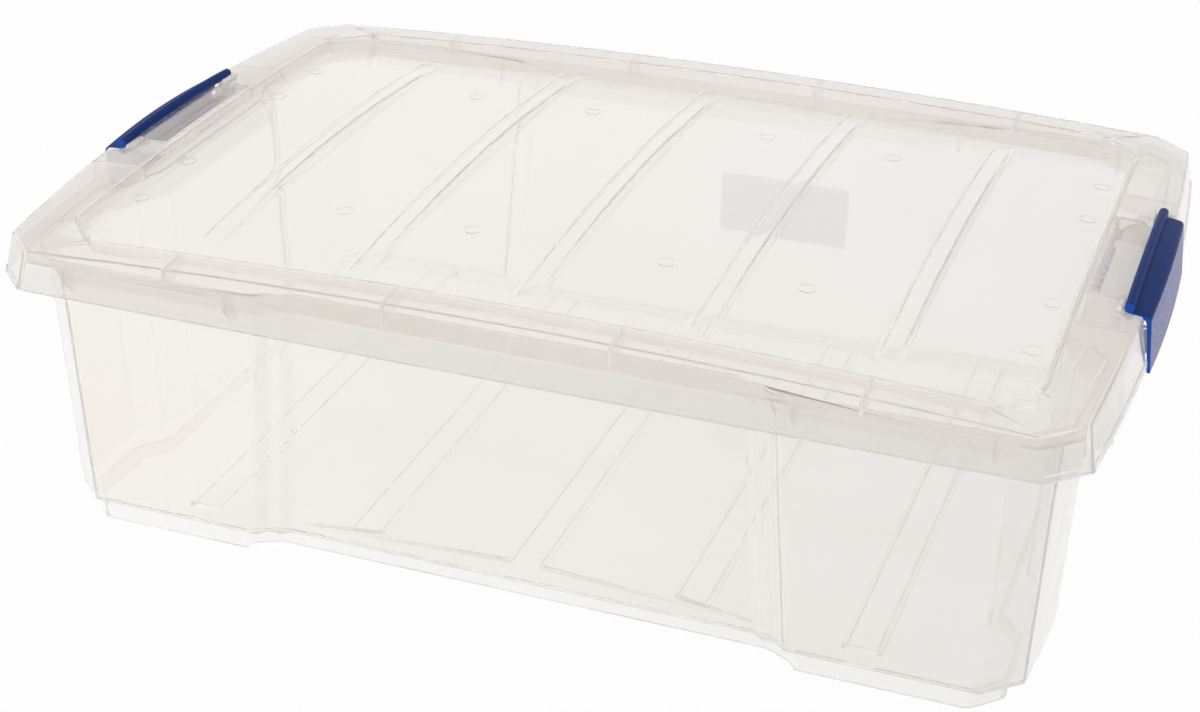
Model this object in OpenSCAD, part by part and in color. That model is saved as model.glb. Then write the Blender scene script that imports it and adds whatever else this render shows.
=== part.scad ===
// Under bed storage box: a shallow clear tub, a crowned clip-on lid and two clip handles.
// Origin: centre of the footprint, on the surface that the feet stand on. +X runs along the
// length, +Y to the back long wall and +Z up. All sizes are in millimetres.

/* [Tub] */
// Outside length of the tub at its rim, taken at the corner parts of the end walls
tub_l = 545; // [530:1:556]
// Outside width of the tub at its rim
tub_w = 357.6; // [330:0.2:362]
// Height from the underside of the floor to the top of the rim flange
tub_h = 151.7; // [120:0.1:190]
// How far each end wall leans in from the rim down to the floor
end_lean = 4.8; // [2:0.1:7]
// How far each long wall leans in from the rim down to the floor
side_lean = 3.6; // [2:0.1:7]
// Thickness of the tub's walls
wall_t = 2; // [1.6:0.1:2.6]
// Thickness of the tub's floor
floor_t = 2; // [1.6:0.1:2.6]
// Corner bevel of the tub, measured along the length
tub_bevel_l = 19; // [12:0.5:26]
// Corner bevel of the tub, measured along the width
tub_bevel_w = 17; // [12:0.5:24]
// Outward bow of the end walls
end_bow = 6.6; // [3:0.1:9]

/* [Tub wall panels] */
// Length of a long wall from the tub's end to the set-back middle, at rim height
side_part_l = 134.5; // [110:0.5:150]
// How much shorter the same part is at the floor
side_panel_splay = 11; // [4:0.5:14]
// Depth of the first step into the long wall
side_step_1 = 5.2; // [3:0.1:6]
// Depth of the second step into the long wall
side_step_2 = 4; // [3:0.1:6]
// Run of each sloping face beside the middle of a long wall
side_slope = 5.5; // [4:0.5:10]
// Width of the ledge between the two sloping faces of a long wall
side_ledge = 7; // [4:0.5:12]
// Width of an end wall from the tub's side to the set-back middle, at rim height
end_part_w = 82.8; // [70:0.1:90]
// Depth of the first step into the end wall
end_step_1 = 11; // [6:0.5:14]
// Depth of the second step into the end wall
end_step_2 = 9; // [6:0.5:12]
// Run of the outer sloping face of an end wall
end_slope_1 = 13; // [8:0.5:14]
// Run of the inner sloping face of an end wall
end_slope_2 = 18; // [10:0.5:20]
// Width of the ledge between the two sloping faces of an end wall
end_ledge = 4; // [3:0.5:5]

/* [Tub rim] */
// Thickness of the rim flange
flange_t = 2; // [1.6:0.1:2.6]
// Height of the flared collar under the rim flange
collar_h = 12; // [8:0.5:16]
// How far the collar flares out at the flange
collar_flare = 5.5; // [3:0.1:6]
// Distance of the outer gussets under the flange from the tub's ends
gusset_set_outer = 27.5; // [23:0.5:45]
// Distance of the inner gussets under the flange from the set-back middle
gusset_set_inner = 12; // [6:0.5:30]
// Drop of the gussets below the flange
gusset_drop = 16; // [10:0.5:20]
// Width of a gusset's lower edge beside the wall
gusset_toe = 4; // [2:0.5:6]
// Height of a gusset's slanted lower corner
gusset_cut = 8; // [4:0.5:9]
// Thickness of every gusset
gusset_t = 2; // [1.4:0.1:2.6]

/* [Tub floor and feet] */
// Height of the corner feet below the floor
foot_h = 10.2; // [6:0.1:14]
// Height of the gap under the foot ring between the corner feet
foot_gap = 3.2; // [2:0.1:4.5]
// Setback of the foot ring from the edge of the floor at the ends
foot_set_end = 8.7; // [6:0.1:12]
// Setback of the foot ring from the edge of the floor at the long sides
foot_set_side = 1.2; // [0.5:0.1:6]
// Bevel at the corners of the foot ring
foot_bevel = 15.5; // [10:0.5:20]
// Thickness of the foot ring
foot_t = 2.2; // [1.8:0.1:3]
// Length of a corner foot along a long side
foot_side_l = 104; // [80:1:120]
// Length of a corner foot along a short side
foot_end_l = 56; // [44:1:66]
// Length of the slanted link between a corner foot and the set-back ring
foot_link = 17; // [12:0.5:22]
// How far the ring is set back between the feet on a long side
foot_side_setback = 8.6; // [7:0.1:11]
// How far the ring is set back between the feet on a short side
foot_end_setback = 14; // [10:0.5:18]
// Number of raised bands across the floor
band_count = 5; // [3:1:5]
// Distance of the outermost bands from the ends of the floor
band_set = 81.7; // [60:0.1:100]
// Width of each band
band_w = 20; // [14:0.5:24]
// Gap between the end of a band and the side of the floor
band_gap = 13.2; // [11:0.1:40]
// Rise of each band above the floor
band_rise = 2.2; // [1:0.1:3]

/* [Lid] */
// Overhang of the lid's top edge past each end of the tub's rim
lid_over_end = 12.4; // [11:0.1:18]
// Overhang of the lid's top edge past each long side of the tub's rim
lid_over_side = 12.7; // [12:0.1:18]
// Corner bevel of the lid, measured along the length
lid_bevel_l = 19.5; // [14:0.5:24]
// Corner bevel of the lid, measured along the width
lid_bevel_w = 18.2; // [14:0.2:24]
// Outward bow of the lid's short sides
lid_bow_end = 8.8; // [7.5:0.1:10]
// Outward bow of the lid's long sides
lid_bow_side = 0.8; // [0.2:0.1:1.6]
// Wall thickness of the lid
lid_t = 2; // [1.6:0.1:2.4]
// Rise of the lid's crown along the length
crown_rise_l = 7.5; // [4:0.1:9]
// Rise of the lid's crown across the width
crown_rise_w = 6.4; // [4:0.1:8]
// Depth of the skirt below the corner of the top edge
skirt_h = 21.6; // [16:0.1:26]
// How far the skirt flares out from its top to its lower edge
skirt_flare = 3.8; // [2:0.1:5]
// Height of the bead along the skirt's lower edge
bead_h = 3.2; // [2:0.1:5]
// How far that bead stands out from the skirt
bead_t = 0.7; // [0.4:0.1:1.2]
// Height of the lid's plate above the tub's flange at the corners
seat_h = 4.3; // [3:0.1:6]
// Clearance between the lid's gussets and the flange that they rest on
seat_clear = 0.2; // [0.1:0.05:0.5]
// Running gap between the tub's flange and the inside of the skirt
skirt_gap = 1.4; // [0.8:0.1:2]

/* [Lid recess] */
// Width of the lid's rim beside the recessed panel at the ends
rim_end_w = 26.9; // [26:0.1:36]
// Width of the lid's rim beside the recessed panel at the long sides
rim_side_w = 19.5; // [18:0.1:30]
// Corner bevel of the recessed panel
recess_bevel = 21; // [16:0.5:26]
// Depth of the panel below the rim's surface
recess_d = 8; // [6:0.1:9]
// How far the recess walls slope in from top to panel
recess_draft = 2.5; // [1.5:0.1:4]
// Number of ribs across the panel
rib_count = 5; // [3:2:5]
// Distance of the outermost ribs from the ends of the recessed panel
rib_set = 75; // [60:0.5:90]
// Width of each rib
rib_w = 13.5; // [10:0.5:16]
// Gap between the end of an inner rib and the side of the recessed panel
rib_gap = 14; // [13:0.5:30]
// Gap between the end of an outermost rib and the side of the recessed panel
rib_gap_outer = 27; // [18:0.5:40]
// Height of a rib above the panel at mid length
rib_rise = 4.5; // [3:0.1:5.5]
// Positions of the inner gussets under the lid's long sides, from their middle
lid_gusset_x = 60; // [40:1:80]
// Distance of the gussets under the lid's short sides from the clip's notch
lid_gusset_set = 19.4; // [12:0.1:36]
// Run of the slanted lower edge of a lid gusset, out from the recess
lid_gusset_run = 10; // [6:0.5:14]

/* [Clip notch in the lid] */
// Running gap at each end of a handle in its notch
notch_gap = 1.2; // [0.8:0.1:2]
// Setback of the wall that the handle's rod lies on from the lid's top edge
notch_set = 3.6; // [3.4:0.1:5]
// Height of that wall's top above the top edge of the lid's corners
rod_seat_z = 5; // [3.5:0.1:5]
// Width of the stops at both ends of the finger pocket
stop_w = 15.6; // [10:0.1:24]
// Length of the finger pocket behind the rod
pocket_l = 18; // [14:0.5:19]
// Depth of the finger pocket below the rim's surface
pocket_d = 7; // [6:0.1:9]
// Length of the stops beside the pocket that the ends of the rod lie against
stop_l = 3.3; // [2:0.1:4.5]
// Height of those stops above the rod's seat
stop_rise = 3.2; // [2:0.1:4]

/* [Clip handles] */
// Width of a handle
handle_w = 124.8; // [110:0.2:126]
// How far each end of the rod stands out past the handle's side
rod_over = 0.6; // [0:0.1:0.6]
// Diameter of that rod
rod_d = 5.2; // [4.4:0.1:5.4]
// Distance from the inner face of the wall that the rod lies on to its axis
rod_set = 3.2; // [2.9:0.1:4.2]
// Clearance between the rod and its seat in the lid
rod_clear = 0.2; // [0.1:0.05:0.5]
// Length of the handle's top from the rod's axis to the outer bend
handle_top_l = 12.9; // [11.5:0.1:13.5]
// Drop of the handle's top plate from the rod's axis to the bend
bend_drop = 3.3; // [2.8:0.1:3.6]
// Rise of the top plate from the bend to the rod
top_rise = 1.6; // [0.8:0.1:2]
// Outer radius of the bend
bend_r = 3; // [2.6:0.1:4]
// Thickness of the handle's top plate
handle_top_t = 2; // [1.6:0.1:2.4]
// Thickness of the handle's outer plate
handle_plate_t = 2.5; // [2:0.1:2.6]
// Height of the outer plate below the bend
handle_drop = 30.5; // [28:0.1:34]
// How far the outer plate leans out to its lower edge
handle_lean = 2.6; // [1.5:0.1:2.6]
// Upward crown of the rod and the top plate at mid width
handle_crown = 2.2; // [1:0.1:3]

/* [Clip hinges] */
// Setback of the hinge axis from the handle's outer bend
hinge_set = 5.9; // [5.4:0.1:6.4]
// Depth of the hinge axis below the top of the tub's flange
hinge_drop = 13.7; // [12:0.1:15]
// Diameter of the hinge pins moulded on the handle
pin_d = 3.8; // [3:0.1:4]
// Radial running clearance of a hinge pin in its ear
pin_clear = 0.05; // [0.02:0.01:0.1]
// Outer radius of the hinge ears and of the handle's knuckles
knuckle_r = 3.2; // [2.8:0.1:3.4]
// Distance from the handle's side to the inner face of an ear
ear_set = 16.4; // [10:0.1:22]
// Thickness of an ear
ear_t = 3; // [2.4:0.1:4]
// Side gap between a knuckle and its ear
ear_gap = 0.3; // [0.2:0.05:0.5]
// Length of a knuckle
knuckle_l = 15; // [10:0.5:20]
// Slope of the web that joins an ear to the flange, in degrees
ear_web_angle = 40; // [36:1:50]

/* [Label] */
// Length of the label on the back wall
label_l = 82; // [60:1:100]
// Height of the label
label_h = 39; // [30:1:50]
// Thickness of the label
label_t = 0.25; // [0.15:0.05:0.4]
// Thickness of the glue between the label and the wall
label_gap = 0.05; // [0.02:0.01:0.1]
// Distance of the label's centre from the middle of the back wall
label_x = 46; // [20:1:60]
// Height of the label's centre above the floor's underside
label_z = 83; // [60:1:110]

/* [Hidden] */
CLEAR = [0.93, 0.92, 0.90, 0.55];
BLUE = [0.10, 0.22, 0.52];
PAPER = [0.78, 0.80, 0.84];
FINE = 720;             // facets of the very large crown circles
ROUND = 48;             // facets of rods, pins and bores
END_STEPS = 6;          // points along half of a short side, as many as half a tub end has
SIDE_STEPS = 5;         // points along half of a long side, as many as half a tub side has
over = 1;               // overlap that makes joined and cut shapes meet cleanly
spare = 1.2;            // share by which a swept shape is made wider before it is trimmed
reach = 60;             // depth of the large solids that bound a crowned surface

floor_z = foot_h;
rim_z = foot_h + tub_h;
collar_z = rim_z - flange_t - collar_h;
side_panel_x = tub_l / 2 - side_part_l;
end_panel_y = tub_w / 2 - end_part_w;
gusset_x_outer = tub_l / 2 - gusset_set_outer;
gusset_x_inner = side_panel_x + gusset_set_inner;
foot_l = tub_l - 2 * (end_lean + foot_set_end);
foot_w = tub_w - 2 * (side_lean + foot_set_side);
foot_side_x = foot_l / 2 - foot_side_l;
foot_end_y = foot_w / 2 - foot_end_l;
band_pitch = (tub_l - 2 * (end_lean + band_set)) / (band_count - 1);
band_l = tub_w - 2 * (side_lean + band_gap);
lid_l = tub_l + 2 * lid_over_end;
lid_w = tub_w + 2 * lid_over_side;
lid_z = rim_z + seat_h + lid_t;
skirt_z = lid_z - skirt_h;
skirt_slope = skirt_flare / skirt_h;
crown_half_l = lid_l / 2 - lid_bevel_l;
crown_half_w = lid_w / 2 - lid_bevel_w;
crown_r_l = (pow(crown_half_l, 2) + pow(crown_rise_l, 2)) / (2 * crown_rise_l);
crown_r_w = (pow(crown_half_w, 2) + pow(crown_rise_w, 2)) / (2 * crown_rise_w);
crown_top = lid_z + crown_rise_l + crown_r_w - sqrt(pow(crown_r_w, 2) - pow(lid_w / 2, 2));
recess_l = lid_l - 2 * rim_end_w;
recess_w = lid_w - 2 * rim_side_w;
rib_end_x = recess_l / 2 - rib_set;
rib_pitch = 2 * rib_end_x / (rib_count - 1);
notch_x = lid_l / 2 - notch_set;
notch_half = handle_w / 2 + notch_gap;
pocket_half_w = notch_half - stop_w;
lid_gusset_y = notch_half + lid_gusset_set;
rod_x = notch_x + rod_set;
rod_l = handle_w + 2 * rod_over;
bend_x = rod_x + handle_top_l;
hinge_x = bend_x - hinge_set;
ear_y = handle_w / 2 - ear_set;
rod_z = lid_z + rod_seat_z + rod_clear + rod_d / 2;
bend_z = rod_z - bend_drop;
handle_low = bend_z - handle_drop;
handle_r = (pow(handle_w / 2, 2) + pow(handle_crown, 2)) / (2 * handle_crown);
hinge_z = rim_z - hinge_drop;
SIDES = [0, 1];

// ---------------------------------------------------------------- outlines and lofts

// Height of the lid's crowned surface over a point of the plan
function crown_z(x, y) = crown_top - crown_r_l
    + sqrt(pow(crown_r_l - crown_r_w + sqrt(pow(crown_r_w, 2) - y * y), 2) - x * x);

// A whole outline, counterclockwise, from the points of its first quarter
function whole(q) = let (n = len(q)) concat(
    q,
    [for (i = [n - 1:-1:0]) [-q[i].x, q[i].y]],
    [for (p = q) [-p.x, -p.y]],
    [for (i = [n - 1:-1:0]) [q[i].x, -q[i].y]]);

// Share of a bow that is left at distance d along a side of half length h
function bowed(d, h) = 1 - pow(d / h, 2);

// Distance of point i of n along a side of half length h, the last one at its end
function along(i, n, h) = h * (i + 0.5) / (n - 0.5);

// Left-hand normal of the edge from a to b
function edge_normal(a, b) = let (u = (b - a) / norm(b - a)) [-u.y, u.x];

// The outline moved inward by t, with mitred corners
function inset(p, t) = let (n = len(p)) [for (i = [0:n - 1])
    let (u = edge_normal(p[(i + n - 1) % n], p[i]), v = edge_normal(p[i], p[(i + 1) % n]))
    p[i] + t * (u + v) / (1 + u * v)];

// Quarter outline of a bevelled rectangle whose sides bow outward
function bowed_quarter(half_l, half_w, bevel_l, bevel_w, bow_l, bow_w) =
    let (side_l = half_l - bevel_l, side_w = half_w - bevel_w) concat(
    [for (i = [0:END_STEPS - 1]) let (y = along(i, END_STEPS, side_w))
        [half_l + bow_l * bowed(y, side_w), y]],
    [for (i = [SIDE_STEPS - 1:-1:0]) let (x = along(i, SIDE_STEPS, side_l))
        [x, half_w + bow_w * bowed(x, side_l)]]);

// Outside of the lid at height z, without its bead
function lid_ring(z) = let (out = skirt_slope * (lid_z - z)) whole(bowed_quarter(
    lid_l / 2 + out, lid_w / 2 + out, lid_bevel_l, lid_bevel_w, lid_bow_end, lid_bow_side));

// Outside of the tub's walls at height z, with the stepped panels
function tub_ring(z) = let (
    down = (rim_z - z) / tub_h,
    hl = tub_l / 2 - end_lean * down,
    hw = tub_w / 2 - side_lean * down,
    corner_y = hw - tub_bevel_w,
    edge_x = hl + end_bow * bowed(end_panel_y, corner_y),
    mid_y = (end_panel_y + corner_y) / 2,
    ledge_y = end_panel_y - end_slope_1,
    inner_y = ledge_y - end_ledge,
    px = side_panel_x + side_panel_splay * down) whole([
        [edge_x - end_step_1 - end_step_2, inner_y - end_slope_2],
        [edge_x - end_step_1, inner_y],
        [edge_x - end_step_1, ledge_y],
        [edge_x, end_panel_y],
        [hl + end_bow * bowed(mid_y, corner_y), mid_y],
        [hl, corner_y],
        [hl - tub_bevel_l, hw],
        [px, hw],
        [px - side_slope, hw - side_step_1],
        [px - side_slope - side_ledge, hw - side_step_1],
        [px - 2 * side_slope - side_ledge, hw - side_step_1 - side_step_2]]);

// Outside of the foot ring
foot_ring = whole([
    [foot_l / 2 - foot_end_setback, foot_end_y - foot_link],
    [foot_l / 2, foot_end_y],
    [foot_l / 2, foot_w / 2 - foot_bevel],
    [foot_l / 2 - foot_bevel, foot_w / 2],
    [foot_side_x, foot_w / 2],
    [foot_side_x - foot_link, foot_w / 2 - foot_side_setback]]);

// Outside of the tub's flange, a running gap inside the skirt
flange_ring = inset(lid_ring(rim_z), lid_t + skirt_gap);

// A closed solid through outlines of equal length at the given heights. With looped, the last
// outline joins the first again, which makes a hollow ring instead of a solid with two ends.
module loft(rings, heights, looped = false) {
    n = len(rings[0]);
    count = len(rings);
    spans = looped ? count : count - 1;
    ends = looped ? [] : [[for (i = [0:n - 1]) i], [for (i = [n - 1:-1:0]) (count - 1) * n + i]];
    polyhedron(
        points = [for (k = [0:count - 1]) for (p = rings[k]) [p.x, p.y, heights[k]]],
        faces = concat(
            ends,
            [for (k = [0:spans - 1]) for (i = [0:n - 1])
                let (a = k * n, b = (k + 1) % count * n, j = (i + 1) % n) [a + i, b + i, b + j]],
            [for (k = [0:spans - 1]) for (i = [0:n - 1])
                let (a = k * n, b = (k + 1) % count * n, j = (i + 1) % n) [a + i, b + j, a + j]]));
}

// A straight prism over an outline
module prism(ring, low, high) {
    translate([0, 0, low]) linear_extrude(high - low) polygon(ring);
}

// The same child at both ends of the box
module at_both_ends() {
    for (side = SIDES) mirror([side, 0, 0]) children();
}

// The same child on both long sides of the box
module on_both_sides() {
    for (side = SIDES) mirror([0, side, 0]) children();
}

// Everything below the lid's crowned surface, moved down by drop
module under_crown(drop) {
    swing = 2 * asin((lid_l / 2 + lid_bow_end + skirt_flare + reach) / crown_r_l);
    translate([0, 0, crown_top - drop - crown_r_l]) rotate([-90, 0, 0]) rotate([0, 0, -90 - swing / 2])
        rotate_extrude(angle = swing, $fn = FINE) intersection() {
            translate([crown_r_l - crown_r_w, 0]) circle(crown_r_w, $fn = FINE);
            translate([crown_r_l - reach, -lid_w]) square([2 * reach, 2 * lid_w]);
        }
}

// A slab between x and -x whose top is an arch across the width, highest at y = 0
module arch(x, width, half_span, top_z, sag) {
    r = (pow(half_span, 2) + pow(sag, 2)) / (2 * sag);
    intersection() {
        translate([x - width / 2, 0, top_z - r]) rotate([0, 90, 0]) cylinder(r = r, h = width, $fn = FINE);
        translate([x - width / 2, -half_span, top_z - sag - reach])
            cube([width, 2 * half_span, 2 * reach]);
    }
}

// ---------------------------------------------------------------- tub

// Walls and flared collar, drawn up the outside and down the inside
module tub_walls() {
    loft([
        tub_ring(floor_z),
        tub_ring(collar_z),
        inset(tub_ring(rim_z), -collar_flare),
        inset(tub_ring(rim_z), wall_t - collar_flare),
        inset(tub_ring(collar_z), wall_t),
        inset(tub_ring(floor_z), wall_t)],
        [floor_z, collar_z, rim_z, rim_z, collar_z, floor_z], looped = true);
}

module tub_flange() {
    difference() {
        prism(flange_ring, rim_z - flange_t, rim_z);
        prism(inset(tub_ring(rim_z), wall_t / 2 - collar_flare), rim_z - flange_t - over, rim_z + over);
    }
}

module tub_floor() {
    difference() {
        union() {
            prism(inset(tub_ring(floor_z), wall_t / 2), floor_z, floor_z + floor_t);
            bands(0, floor_z + floor_t / 2, floor_z + floor_t + band_rise);
        }
        bands(wall_t, floor_z - over, floor_z + band_rise);
    }
}

// Raised bands that stiffen the floor, or the channels under them
module bands(shrink, low, high) {
    for (i = [0:band_count - 1])
        translate([(i - (band_count - 1) / 2) * band_pitch, 0, (low + high) / 2])
            cube([band_w - 2 * shrink, band_l - 2 * shrink, high - low], center = true);
}

// Blocks with slanted ends that keep only the corner feet below the gap
module foot_corners() {
    at_both_ends() on_both_sides() intersection() {
        translate([0, foot_w, 0]) rotate([90, 0, 0]) linear_extrude(foot_w)
            polygon([[foot_side_x, 0], [foot_l, 0], [foot_l, foot_gap + over],
                [foot_side_x - foot_gap, foot_gap + over]]);
        rotate([90, 0, 90]) linear_extrude(foot_l)
            polygon([[foot_end_y, 0], [foot_w, 0], [foot_w, foot_gap + over],
                [foot_end_y - foot_gap, foot_gap + over]]);
    }
}

module foot_wall(low, high) {
    difference() {
        prism(foot_ring, low, high);
        prism(inset(foot_ring, foot_t), low - over, high + over);
    }
}

module feet() {
    foot_wall(foot_gap, floor_z + floor_t / 2);
    intersection() {
        foot_wall(0, foot_gap + over / 2);
        foot_corners();
    }
}

// Gussets between the flange and the long walls, rooted in the wall and its collar
module rim_gussets() {
    root_y = (tub_w - wall_t) / 2;
    edge_y = lid_w / 2 - lid_t - skirt_gap;
    low = collar_z + collar_h - gusset_drop;
    high = rim_z - flange_t / 2;
    on_both_sides() at_both_ends() for (x = [gusset_x_inner, gusset_x_outer])
        translate([x - gusset_t / 2, 0, 0]) rotate([90, 0, 90]) linear_extrude(gusset_t)
            polygon([[root_y, low], [root_y + gusset_toe, low], [edge_y, low + gusset_cut], [edge_y, high],
                [root_y + collar_flare, high], [root_y, collar_z]]);
}

// Ears under the flange that carry the pins of a handle
module hinge_ears() {
    web = (rim_z - hinge_z) / tan(ear_web_angle);
    on_both_sides() translate([hinge_x, ear_y + ear_t, hinge_z]) rotate([90, 0, 0]) difference() {
        linear_extrude(ear_t) {
            circle(knuckle_r, $fn = ROUND);
            polygon([
                [knuckle_r, 0],
                [knuckle_r, rim_z - hinge_z - flange_t - over],
                [0, rim_z - hinge_z - flange_t / 2],
                [-web, rim_z - hinge_z - flange_t / 2],
                [-knuckle_r * sin(ear_web_angle), -knuckle_r * cos(ear_web_angle)]]);
        }
        translate([0, 0, -over]) cylinder(r = pin_d / 2 + pin_clear, h = ear_t + 2 * over, $fn = ROUND);
    }
}

module tub() {
    color(CLEAR) {
        tub_walls();
        tub_flange();
        tub_floor();
        feet();
        rim_gussets();
        at_both_ends() hinge_ears();
    }
}

// ---------------------------------------------------------------- lid

module lid_shell() {
    high = crown_top + over;
    difference() {
        intersection() {
            union() {
                loft([lid_ring(skirt_z), lid_ring(high)], [skirt_z, high]);
                loft([inset(lid_ring(skirt_z), -bead_t), inset(lid_ring(skirt_z + bead_h), -bead_t)],
                    [skirt_z, skirt_z + bead_h]);
            }
            under_crown(0);
        }
        intersection() {
            loft([inset(lid_ring(skirt_z - over), lid_t), inset(lid_ring(high), lid_t)],
                [skirt_z - over, high]);
            under_crown(lid_t);
        }
    }
}

recess_edge = whole([
    [recess_l / 2, recess_w / 2 - recess_bevel],
    [recess_l / 2 - recess_bevel, recess_w / 2]]);

// The recess from its panel up past the rim, grown outward by t
module recess_volume(t) {
    low = lid_z - recess_d;
    edge = lid_z + crown_rise_w;
    high = crown_top + over;
    slope = recess_draft / recess_d;
    loft([inset(recess_edge, slope * (edge - low) - t), inset(recess_edge, slope * (edge - high) - t)],
        [low, high]);
}

module recess_pan() {
    difference() {
        intersection() {
            recess_volume(lid_t);
            under_crown(lid_t / 2);
        }
        under_crown(recess_d + lid_t);
    }
}

module recess_hollow() {
    difference() {
        recess_volume(0);
        under_crown(recess_d);
    }
}

function rib_x(i) = (i - (rib_count - 1) / 2) * rib_pitch;
function rib_half(i) = recess_w / 2 - (i == 0 || i == rib_count - 1 ? rib_gap_outer : rib_gap);

// Arched ribs on the panel, or with shrink the channels under them
module ribs(shrink) {
    for (i = [0:rib_count - 1]) {
        panel_mid = crown_z(rib_x(i), 0) - recess_d;
        panel_end = crown_z(rib_x(i), rib_half(i)) - recess_d;
        arch(rib_x(i), rib_w - 2 * shrink, rib_half(i) - shrink, panel_mid + rib_rise - shrink,
            panel_mid + rib_rise - panel_end);
    }
}

// Gussets that carry the lid on the tub's flange
module lid_gussets() {
    step_y = recess_w / 2 - recess_draft;
    step_x = recess_l / 2 - recess_draft;
    intersection() {
        union() {
            on_both_sides() at_both_ends() for (x = [lid_gusset_x, rib_end_x])
                translate([x - gusset_t / 2, 0, rim_z]) rotate([90, 0, 90]) linear_extrude(gusset_t)
                    polygon([[step_y, seat_h], [step_y + lid_gusset_run, seat_clear], [lid_w, seat_clear],
                        [lid_w, reach], [step_y, reach]]);
            on_both_sides() at_both_ends()
                translate([0, lid_gusset_y + gusset_t / 2, rim_z]) rotate([90, 0, 0]) linear_extrude(gusset_t)
                    polygon([[step_x, seat_h], [step_x + lid_gusset_run, seat_clear], [lid_l, seat_clear],
                        [lid_l, reach], [step_x, reach]]);
        }
        loft([inset(lid_ring(skirt_z), lid_t / 2), inset(lid_ring(crown_top), lid_t / 2)],
            [skirt_z, crown_top]);
        under_crown(lid_t / 2);
    }
}

// Everything past the notch's inner wall, between its two cheeks
module notch_volume(grow) {
    translate([notch_x + lid_t - grow, -notch_half - grow, skirt_z - over])
        cube([lid_l, 2 * (notch_half + grow), lid_l]);
}

// Cheeks and inner wall that close the rim around a handle's notch, clear of the tub's flange
module notch_walls() {
    difference() {
        intersection() {
            notch_volume(lid_t);
            loft([inset(lid_ring(skirt_z), lid_t / 2), inset(lid_ring(crown_top), lid_t / 2)],
                [skirt_z, crown_top]);
            under_crown(lid_t / 2);
        }
        notch_volume(0);
        prism(inset(flange_ring, -skirt_gap), skirt_z - over, rim_z + seat_clear);
    }
}

// Space above the rod's seat, past the stops
module seat_volume() {
    translate([notch_x, -notch_half, lid_z + rod_seat_z]) cube([lid_l, 2 * notch_half, lid_l]);
}

// Finger pocket behind the rod, grown outward by t
module pocket_volume(t) {
    translate([notch_x - pocket_l - t, -pocket_half_w - t, lid_z - recess_d])
        cube([pocket_l + 2 * t, 2 * (pocket_half_w + t), 2 * reach]);
}

module pocket_pan() {
    difference() {
        intersection() {
            pocket_volume(lid_t);
            under_crown(lid_t / 2);
        }
        under_crown(pocket_d + lid_t);
    }
}

module pocket_hollow() {
    difference() {
        pocket_volume(0);
        under_crown(pocket_d);
    }
}

// Stops that the ends of the rod lie against when the clip is closed
module rod_stops() {
    on_both_sides()
        translate([notch_x - stop_l, pocket_half_w, lid_z + rod_seat_z - stop_rise])
            cube([stop_l, stop_w, 2 * stop_rise]);
}

module lid() {
    color(CLEAR) difference() {
        union() {
            difference() {
                union() {
                    lid_shell();
                    recess_pan();
                    lid_gussets();
                    at_both_ends() notch_walls();
                    at_both_ends() pocket_pan();
                }
                recess_hollow();
                at_both_ends() pocket_hollow();
            }
            intersection() {
                ribs(0);
                recess_volume(lid_t / 2);
            }
            at_both_ends() rod_stops();
        }
        ribs(lid_t);
        at_both_ends() notch_volume(0);
        at_both_ends() seat_volume();
    }
}

// ---------------------------------------------------------------- clip handles

// Distance of the outer plate's face from the box's centre at height z
function plate_x(z) = bend_x + handle_lean * (bend_z - z) / handle_drop;

// Section of the top plate, the bend and the outer plate, as points of x and z
plate_section = let (low = handle_low - handle_crown - over) concat(
    [for (a = [90:-15:0]) [
        bend_x - bend_r + bend_r * cos(a),
        bend_z - bend_r + bend_r * sin(a)]],
    [[plate_x(low), low], [plate_x(low) - handle_plate_t, low]],
    [[bend_x - handle_plate_t, bend_z - bend_r],
        [bend_x - bend_r, bend_z - handle_top_t],
        [rod_x, bend_z + top_rise - handle_top_t],
        [rod_x, bend_z + top_rise]]);

// Carries a section round an axis along X below the box, so that it is crowned at mid width
module crowned(width) {
    swing = 2 * spare * asin(width / 2 / handle_r);
    intersection() {
        translate([0, 0, bend_z + handle_crown - handle_r]) rotate([0, -90, 0]) rotate([0, 0, -swing / 2])
            rotate_extrude(angle = swing, $fn = FINE)
                translate([handle_r - bend_z, 0]) rotate([0, 0, -90]) children();
        translate([0, -width / 2, handle_low]) cube([lid_l, width, lid_l]);
    }
}

// Knuckles inside the outer plate with the pins that turn in the tub's ears
module hinge_pins() {
    far = ear_y - ear_gap;
    on_both_sides() translate([hinge_x, far, hinge_z]) {
        rotate([90, 0, 0]) cylinder(r = knuckle_r, h = knuckle_l, $fn = ROUND);
        translate([0, -knuckle_l, -knuckle_r])
            cube([plate_x(hinge_z) - hinge_x - handle_plate_t / 2, knuckle_l, 2 * knuckle_r]);
        translate([0, ear_gap + ear_t, 0]) rotate([90, 0, 0])
            cylinder(r = pin_d / 2, h = ear_gap + ear_t + over, $fn = ROUND);
    }
}

module handle(mirrored) {
    color(BLUE) mirror([mirrored, 0, 0]) {
        crowned(handle_w) polygon(plate_section);
        crowned(rod_l) translate([rod_x, rod_z]) circle(rod_d / 2, $fn = ROUND);
        hinge_pins();
    }
}

module handle_left() {
    handle(1);
}

module handle_right() {
    handle(0);
}

// ---------------------------------------------------------------- label

module label() {
    lean = atan(side_lean / tub_h);
    down = (rim_z - floor_z - label_z) / tub_h;
    wall_y = tub_w / 2 - side_lean * down - side_step_1 - side_step_2;
    color(PAPER) translate([label_x, wall_y, floor_z + label_z]) rotate([-lean, 0, 0])
        translate([-label_l / 2, label_gap, -label_h / 2]) cube([label_l, label_t, label_h]);
}

tub();
lid();
handle_left();
handle_right();
label();
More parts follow.
